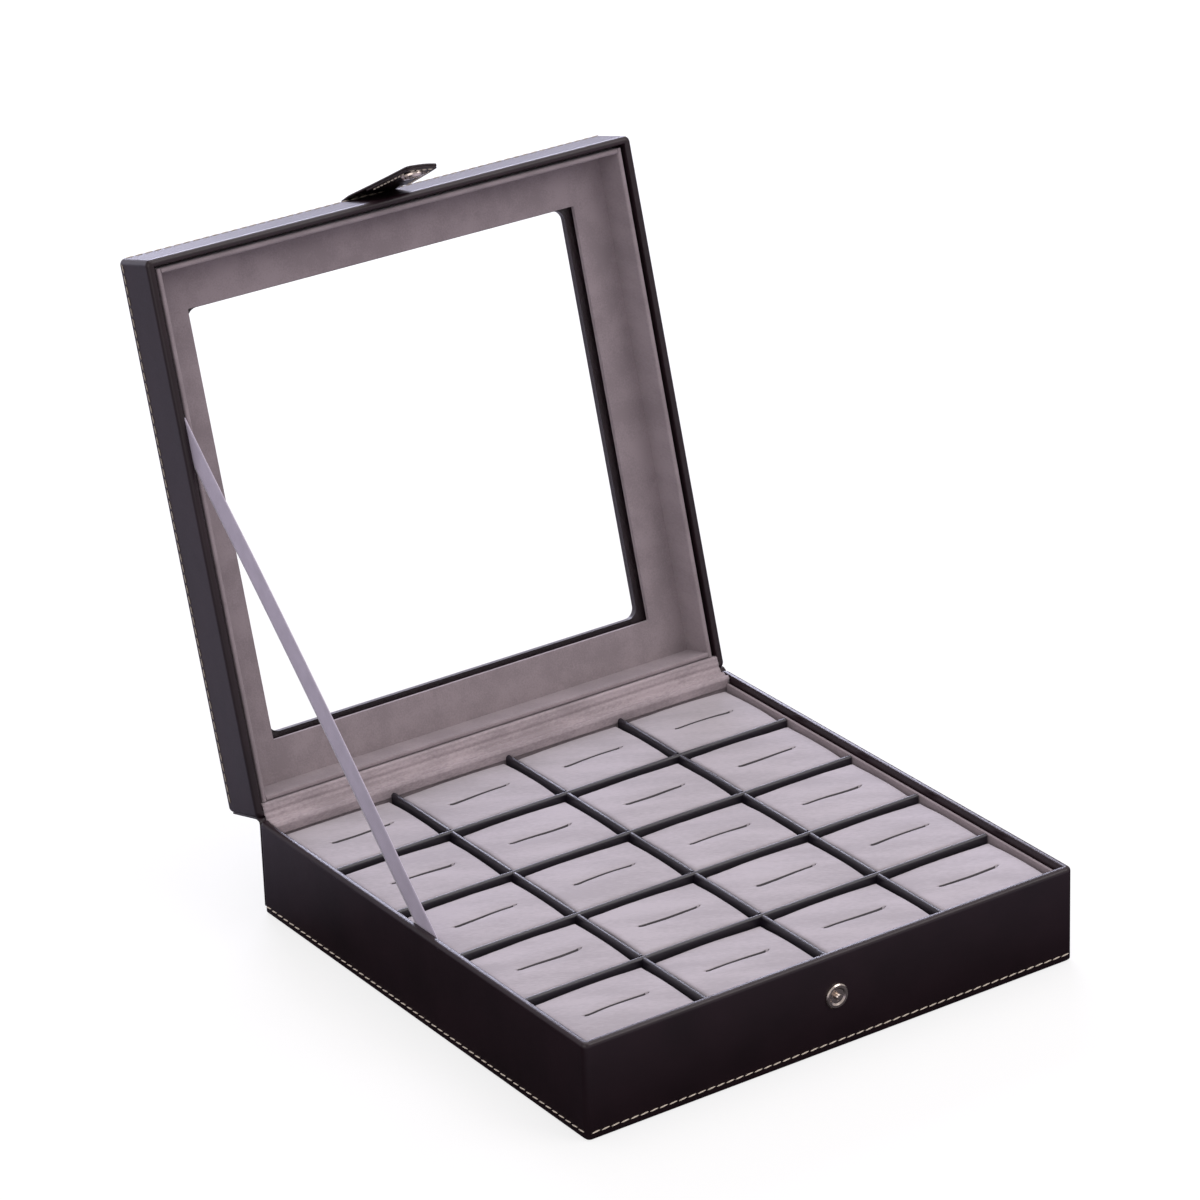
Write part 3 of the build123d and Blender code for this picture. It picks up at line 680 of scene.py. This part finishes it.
class CUFFBOX_OT_stitching(bpy.types.Operator):
    """Sew the cream line round the foot and the darker line round the lid's top"""

    bl_idname = "cuffbox.stitching"
    bl_label = "Stitching"

    def execute(self, context):
        sewing = context.scene.cuffbox_stitches
        height = BASE_LOW.z + sewing.foot_height - 0.6 * MM
        inset = 1.8 * MM
        x, y = HALF_WIDTH, HALF_DEPTH
        sides = (((-x + inset, -y), (x - inset, -y), (0, -1)), ((x, -y + inset), (x, y - inset), (1, 0)),
                 ((-x, y - inset), (-x, -y + inset), (-1, 0)))
        bm = bmesh.new()
        for start, end, out in sides:
            lay_stitches(bm, Vector((*start, height)), Vector((*end, height)), Vector((*out, 0)), sewing)
        finished("foot_stitching", bm, "thread", "base")
        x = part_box("lid_leather_wrap")[1][0]
        line = LID_TOP - sewing.lid_inset
        back, front = LID_REAR_GAP + inset, LID_FRONT - inset
        bm = bmesh.new()
        left = Vector((-1, 0, 0))
        lay_stitches(bm, on_lid(-x, back, line), on_lid(-x, front, line), left, sewing)
        lay_stitches(bm, on_lid(x, front, line), on_lid(x, back, line), -left, sewing)
        lay_stitches(bm, on_lid(-x + inset, LID_FRONT, line), on_lid(x - inset, LID_FRONT, line), LID_ALONG, sewing)
        finished("lid_stitching", bm, "lid_thread", "lid")
        return {"FINISHED"}


# ------------------------------------------------------------------ closing tab
TAIL_BEND = 1.2 * MM           # radius of the leather's outer face round the lid's edge
TAB_SHIFT = 1.0 * MM           # to the right of the box's middle
TAB_CORNER = 2.4 * MM          # radius of the corners at the tip and at the tail's end
TIP_BULGE = 1.0 * MM           # how far the tip is rounded forwards
ROOT_TWIST = 3.2               # degrees of twist just past the root
LINING_START = 20.0 * MM       # from the root, so that it clears the lid when the tab is pressed in
SEAM_PITCH = 2.9 * MM
SEAM_STITCH = 2.3 * MM
SEAM_THREAD = 0.35 * MM        # radius
SEAM_INSET = 1.9 * MM
SEAM_PROUD = 0.08 * MM


class TabShape:
    """Where the tab's leather goes: along is measured from its root at the lid's edge to its tip,
    and below the root back over the lid's edge and along the tail."""

    def __init__(self, tab):
        self.tab = tab
        self.rest = math.radians(tab.rest)
        self.curl = math.radians(tab.curl) / MM
        self.bend = TAIL_BEND * (math.pi / 2 - self.rest)
        self.root = Vector((LID_FRONT + 0.46 * MM, LID_TOP))
        self.centre = self.root - Vector((math.cos(self.rest), math.sin(self.rest))) * TAIL_BEND

    def half_width(self, along):
        """Half the width, with the tip's corners rounded off."""
        tab = self.tab
        share = max(0.0, min(1.0, along / tab.length))
        half = (tab.root + (tab.tip - tab.root) * share) / 2
        over = along - (tab.length - TAB_CORNER)
        return half - TAB_CORNER + math.sqrt(max(0.0, TAB_CORNER ** 2 - over ** 2)) if over > 0 else half

    def at(self, along, x, height=0.0):
        """A point at a height over the outer face, and the directions along and out of the leather."""
        if along > 0:
            angle = self.rest + self.curl * along
            reach = self.root.x + (math.cos(self.rest) - math.cos(angle)) / self.curl
            rise = self.root.y - (math.sin(angle) - math.sin(self.rest)) / self.curl
        else:
            angle = min(math.pi / 2, self.rest - along / TAIL_BEND)
            straight = max(0.0, -along - self.bend)
            reach = self.centre.x + TAIL_BEND * math.cos(angle) - straight
            rise = self.centre.y + TAIL_BEND * math.sin(angle)
        onward = LID_ALONG * math.sin(angle) - LID_OUT * math.cos(angle)
        out = LID_ALONG * math.cos(angle) + LID_OUT * math.sin(angle)
        twist = math.radians(ROOT_TWIST + (self.tab.twist - ROOT_TWIST) * max(0.0, along) / self.tab.length)
        twist *= smooth_step(along, -1 * MM, 7 * MM)
        across = Vector((1, 0, 0)) * math.cos(twist) - out * math.sin(twist)
        out = out * math.cos(twist) + Vector((1, 0, 0)) * math.sin(twist)
        middle = HINGE + LID_ALONG * reach + LID_OUT * rise + Vector((TAB_SHIFT, 0, 0))
        return middle + across * x + out * height, onward, out

    def layer(self, start, height, inset):
        """One layer of leather from start to the tip, its outer face at a height, as a thick grid."""
        tab = self.tab
        # Shares of the grid between the stops: most lines go to the bend and the rounded tip.
        stops = (start, -self.bend, 0.0, tab.length - 4 * MM, tab.length)
        shares = (0.0, 0.16, 0.36, 0.86, 1.0)
        if start > 0:
            stops, shares = (start, tab.length - 4 * MM, tab.length), (0.0, 0.8, 1.0)

        def place(u, v, back):
            piece = next(i for i in range(len(shares) - 1) if v <= shares[i + 1])
            part = (v - shares[piece]) / (shares[piece + 1] - shares[piece])
            along = stops[piece] + (stops[piece + 1] - stops[piece]) * part
            half = self.half_width(along) - inset
            if along < -self.bend:
                over = TAB_CORNER - (along - start)
                half -= TAB_CORNER - math.sqrt(max(0.0, TAB_CORNER ** 2 - over ** 2)) if over > 0 else 0.0
            x = (u * 2 - 1) * half
            bulge = TIP_BULGE * (1 - (x / half) ** 2) * smooth_step(along, tab.length - 9 * MM, tab.length)
            depth = tab.layer if back else 0.0
            return self.at(along + bulge - inset * smooth_step(along, 0, tab.length), x, height - depth)[0]

        return thick_grid(28, 72, place, 1)


def side_row(bm, shape, side, first, last, height):
    """Stitches beside one edge of the tab, along the slope of that edge."""
    tab = shape.tab
    for index in range(int((last - first) / SEAM_PITCH)):
        along = first + (index + 0.5) * SEAM_PITCH
        spot, onward, out = shape.at(along, side * (shape.half_width(along) - SEAM_INSET), height)
        slope = side * (tab.tip - tab.root) / 2 / tab.length if along > 0 else 0.0
        lead = (onward + shape.at(along, 1)[0] * slope - shape.at(along, 0)[0] * slope).normalized()
        one_stitch(bm, spot, lead, out, SEAM_STITCH, SEAM_THREAD)


def cross_row(bm, shape, along, width, height):
    """Stitches across the tab, in the middle of its width."""
    count = int(width / SEAM_PITCH)
    for index in range(count):
        spot, onward, out = shape.at(along, (index + 0.5 - count / 2) * SEAM_PITCH, height)
        one_stitch(bm, spot, onward.cross(out), out, SEAM_STITCH, SEAM_THREAD)


class CUFFBOX_OT_tab(bpy.types.Operator):
    """Make the closing tab: one strap sewn to the lid's top, its lining layer and its stitching"""

    bl_idname = "cuffbox.tab"
    bl_label = "Closing tab"

    def execute(self, context):
        tab = context.scene.cuffbox_tab
        shape = TabShape(tab)
        strap = finished("tab_strap", shape.layer(-shape.bend - tab.tail, 0.0, 0.0), "strap", None,
                         ["tab_outer_leather", "tab_tail"])
        strap.data.materials.append(MATERIALS["cut_edge"])
        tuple(shape.at(-shape.bend, 0)[0])
        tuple(shape.at(2.0 * MM, 0)[0])
        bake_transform(strap)
        lining = finished("tab_lining", shape.layer(LINING_START, -tab.layer - 0.02 * MM, 0.15 * MM), "strap", "tab",
                          ["tab_inner_leather"])
        lining.data.materials.append(MATERIALS["cut_edge"])
        outer, inner = SEAM_PROUD, -2 * tab.layer - 0.1 * MM
        bm = bmesh.new()
        for side in (-1, 1):
            for height, first in ((outer, 3.0 * MM), (inner, LINING_START + 2.0 * MM)):
                side_row(bm, shape, side, first, tab.length - 4.5 * MM, height)
        tip = tab.length - 2.2 * MM
        for height in (outer, inner):
            cross_row(bm, shape, tip, shape.half_width(tip) * 2 - 3 * MM, height)
        finished("tab_stitching", bm, "thread", "tab")
        bm = bmesh.new()
        rear, front = -shape.bend - tab.tail + SEAM_INSET, -shape.bend - 1.5 * MM
        for side in (-1, 1):
            side_row(bm, shape, side, rear, front, outer)
        for along in (rear, front):
            cross_row(bm, shape, along, tab.root - 2 * SEAM_INSET, outer)
        finished("tail_stitching", bm, "thread", "lid")
        return {"FINISHED"}


# ------------------------------------------------------------------ CAD nodes that keep their shape
FINISHES = {
    # The window's inner edge is all that shows of the top board, and the leather is turned in over it.
    "leather": ("base_leather_wrap", "lid_leather_wrap", "base_bottom_cover", "lid_top_frame"),
    "board": ("base_bottom_board", "base_front_board", "base_rear_board", "base_left_board",
              "base_right_board", "lid_front_board", "lid_rear_board", "lid_left_board",
              "lid_right_board"),
    "lining": ("base_front_liner", "base_rear_liner", "base_left_liner", "base_right_liner",
               "lid_frame_lining", "lid_front_liner", "lid_rear_liner", "lid_left_liner",
               "lid_right_liner"),
    "glass": ("window_glass",),
    "nickel": ("snap_stud", "snap_stud_rivet", "snap_socket"),
}


class CUFFBOX_OT_case(bpy.types.Operator):
    """Give the boards, coverings, linings, dividers and glass their finishes"""

    bl_idname = "cuffbox.case"
    bl_label = "Case"

    def execute(self, context):
        make_materials(context.scene.cuffbox_covers)
        for finish, nodes in FINISHES.items():
            for node in nodes:
                dress(node, finish)
        for node in frame["nodes"]:
            if node.startswith("divider_"):
                dress(node, "divider")
        return {"FINISHED"}


# ------------------------------------------------------------------ stage
PHOTO_SIZE = 1200.0
SENSOR = 36.0
CAMERA_AZIMUTH = -33.72
CAMERA_ELEVATION = 24.47
CAMERA_ROLL = -2.0
CAMERA_DISTANCE = 2.4024
CAMERA_FOCUS = 5215.8          # focal length in photo pixels
CAMERA_TARGET = Vector((0.1019, 0.1921, 0.060))
AMBIENT = 0.55                 # light from all round
FLOOR_GLOW = 0.76              # share of the floor's white that its shadow can't dim


def studio_world():
    """White to the camera and through glass; dimmer as light on the object."""
    world = bpy.data.worlds.new("Studio")
    bpy.context.scene.world = world
    world.use_nodes = True
    tree = world.node_tree
    tree.nodes.clear()
    light = add_node(tree, "ShaderNodeBackground", inputs={"Color": hex_colour("#f6f0f4"), "Strength": AMBIENT})
    white = add_node(tree, "ShaderNodeBackground", inputs={"Color": hex_colour("#ffffff"), "Strength": 1.0})
    mix = add_node(tree, "ShaderNodeMixShader",
                   links={0: seen_directly(tree), 1: light.outputs["Background"], 2: white.outputs["Background"]})
    add_node(tree, "ShaderNodeOutputWorld", links={"Surface": mix.outputs["Shader"]})


def pale_floor():
    """A matt white floor that keeps a soft shadow. What the leather reflects of it is a painted shade: the paint that
    reflections and bounced light see is dim near the box, standing in for the box's own shade, brighter far behind
    and in front, and tinted lavender."""
    material, tree = new_material("Matt_white_paint")
    coords = add_node(tree, "ShaderNodeTexCoord")
    parts = add_node(tree, "ShaderNodeSeparateXYZ", links={"Vector": coords.outputs["Object"]})
    # Painted shade: the paint's brightness falls to 0.03 behind and 0.05 in front near the box, rising further away.
    behind = add_node(tree, "ShaderNodeMapRange",
                      inputs={"From Min": 0.08, "From Max": 0.24, "To Min": 0.03, "To Max": 0.42},
                      links={"Value": parts.outputs["Y"]})
    before = add_node(tree, "ShaderNodeMapRange",
                      inputs={"From Min": -0.14, "From Max": -0.4, "To Min": 0.05, "To Max": 0.7},
                      links={"Value": parts.outputs["Y"]})
    both = add_node(tree, "ShaderNodeMath", {"operation": "MAXIMUM"},
                    links={0: behind.outputs["Result"], 1: before.outputs["Result"]})
    reflection_tint = add_node(tree, "ShaderNodeVectorMath", {"operation": "SCALE"}, {0: (0.9, 0.87, 1.0)},
                    {"Scale": both.outputs["Value"]})
    # Painted shade and lavender tint, seen only by reflections and bounced light; the camera sees the white paint and
    # glow.
    painted_shade_floor = add_node(tree, "ShaderNodeBsdfDiffuse", links={"Color": reflection_tint.outputs["Vector"]})
    paint = add_node(tree, "ShaderNodeBsdfDiffuse", inputs={"Color": hex_colour("#ffffff")})
    glow = add_node(tree, "ShaderNodeEmission", inputs={"Color": hex_colour("#ffffff"), "Strength": 1.0})
    shown = add_node(tree, "ShaderNodeMixShader", inputs={0: FLOOR_GLOW},
                     links={1: paint.outputs["BSDF"], 2: glow.outputs["Emission"]})
    mix = add_node(tree, "ShaderNodeMixShader",
                   links={0: seen_directly(tree), 1: painted_shade_floor.outputs["BSDF"], 2: shown.outputs["Shader"]})
    add_node(tree, "ShaderNodeOutputMaterial", links={"Surface": mix.outputs["Shader"]})
    bm = bmesh.new()
    bmesh.ops.create_grid(bm, x_segments=2, y_segments=2, size=4.0)
    mesh = bpy.data.meshes.new("floor")
    bm.to_mesh(mesh)
    bm.free()
    mesh.materials.append(material)
    floor = bpy.data.objects.new("floor", mesh)
    bpy.context.collection.objects.link(floor)


def softbox(name, place, aim, size, power, colour="#ffffff"):
    """A rectangular area lamp, width by height, that looks at a point and isn't seen itself."""
    lamp = bpy.data.lights.new(name, "AREA")
    lamp.shape = "RECTANGLE"
    lamp.size, lamp.size_y = size
    lamp.energy = power
    lamp.color = hex_colour(colour)[:3]
    holder = bpy.data.objects.new(name, lamp)
    bpy.context.collection.objects.link(holder)
    holder.location = place
    holder.rotation_euler = (Vector(aim) - Vector(place)).to_track_quat("-Z", "Y").to_euler()
    holder.visible_camera = False
    holder.visible_transmission = False


def photo_camera():
    """The camera where the photograph was taken from."""
    azimuth = math.radians(CAMERA_AZIMUTH)
    elevation = math.radians(CAMERA_ELEVATION)
    roll = math.radians(CAMERA_ROLL)
    back = Vector((math.sin(azimuth) * math.cos(elevation), -math.cos(azimuth) * math.cos(elevation),
                   math.sin(elevation)))
    right = (-back).cross(Vector((0, 0, 1))).normalized()
    up = right.cross(-back)
    rolled_right = right * math.cos(roll) + up * math.sin(roll)
    rolled_up = up * math.cos(roll) - right * math.sin(roll)
    camera = bpy.data.cameras.new("photo_camera")
    camera.sensor_width = SENSOR
    camera.lens = CAMERA_FOCUS / PHOTO_SIZE * SENSOR
    camera.clip_end = 50
    holder = bpy.data.objects.new("photo_camera", camera)
    bpy.context.collection.objects.link(holder)
    turn = Matrix((rolled_right, rolled_up, back)).transposed().to_4x4()
    holder.matrix_world = Matrix.Translation(CAMERA_TARGET + back * CAMERA_DISTANCE) @ turn
    bpy.context.scene.camera = holder


class CUFFBOX_OT_stage(bpy.types.Operator):
    """Set the floor, the studio light and the camera"""

    bl_idname = "cuffbox.stage"
    bl_label = "Stage"

    def execute(self, context):
        context.scene.view_settings.view_transform = "Standard"
        studio_world()
        pale_floor()
        # The two back panels are what the rims and the lid's front wall mirror.
        softbox("top_softbox", (0.25, 0.25, 1.6), (0.05, 0.05, 0.05), (1.5, 1.5), 11.0, "#fffafc")
        softbox("low_back_panel", (-0.21, 1.7, 0.3), (-0.21, 0.0, 0.3), (1.78, 0.6), 4.0, "#dcdcf6")
        softbox("high_back_panel", (0.9, 1.7, 0.975), (0.9, 0.0, 0.975), (1.4, 0.65), 42.0, "#dcdcf6")
        softbox("front_fill", (1.0, -1.2, 1.5), (0.0, 0.0, 0.05), (1.2, 1.0), 10.0, "#fffafc")
        softbox("left_fill", (-1.3, -0.6, 0.8), (0.0, 0.1, 0.1), (1.2, 1.0), 4.0, "#fffafc")
        photo_camera()
        return {"FINISHED"}


# ------------------------------------------------------------------ panel and registration
STEPS = ("case", "pads", "hinge_velour", "hinge_leather", "ribbon", "tab", "stitching", "stage")


class CUFFBOX_PT_panel(bpy.types.Panel):
    """Lists the pieces and their settings"""

    bl_label = "Cufflink Box"
    bl_idname = "CUFFBOX_PT_panel"
    bl_space_type = "VIEW_3D"
    bl_region_type = "UI"
    bl_category = "Cufflink Box"

    def draw(self, context):
        layout = self.layout
        for name in ("covers", "stitches", "tab", "pads"):
            group = getattr(context.scene, f"cuffbox_{name}")
            box = layout.box()
            for setting in group.__annotations__:
                box.prop(group, setting)
        for step in STEPS:
            layout.operator(f"cuffbox.{step}")


CLASSES = (CoverSettings, StitchSettings, TabSettings, PadSettings, CUFFBOX_OT_case, CUFFBOX_OT_pads,
           CUFFBOX_OT_hinge_velour, CUFFBOX_OT_hinge_leather, CUFFBOX_OT_ribbon, CUFFBOX_OT_tab,
           CUFFBOX_OT_stitching, CUFFBOX_OT_stage, CUFFBOX_PT_panel)


def register():
    for cls in CLASSES:
        bpy.utils.register_class(cls)
    bpy.types.Scene.cuffbox_covers = PointerProperty(type=CoverSettings)
    bpy.types.Scene.cuffbox_stitches = PointerProperty(type=StitchSettings)
    bpy.types.Scene.cuffbox_tab = PointerProperty(type=TabSettings)
    bpy.types.Scene.cuffbox_pads = PointerProperty(type=PadSettings)


def unregister():
    del bpy.types.Scene.cuffbox_covers
    del bpy.types.Scene.cuffbox_stitches
    del bpy.types.Scene.cuffbox_tab
    del bpy.types.Scene.cuffbox_pads
    for cls in reversed(CLASSES):
        bpy.utils.unregister_class(cls)


def main():
    """Make every piece in order."""
    register()
    for step in STEPS:
        getattr(bpy.ops.cuffbox, step)()


if __name__ == "__main__":
    main()
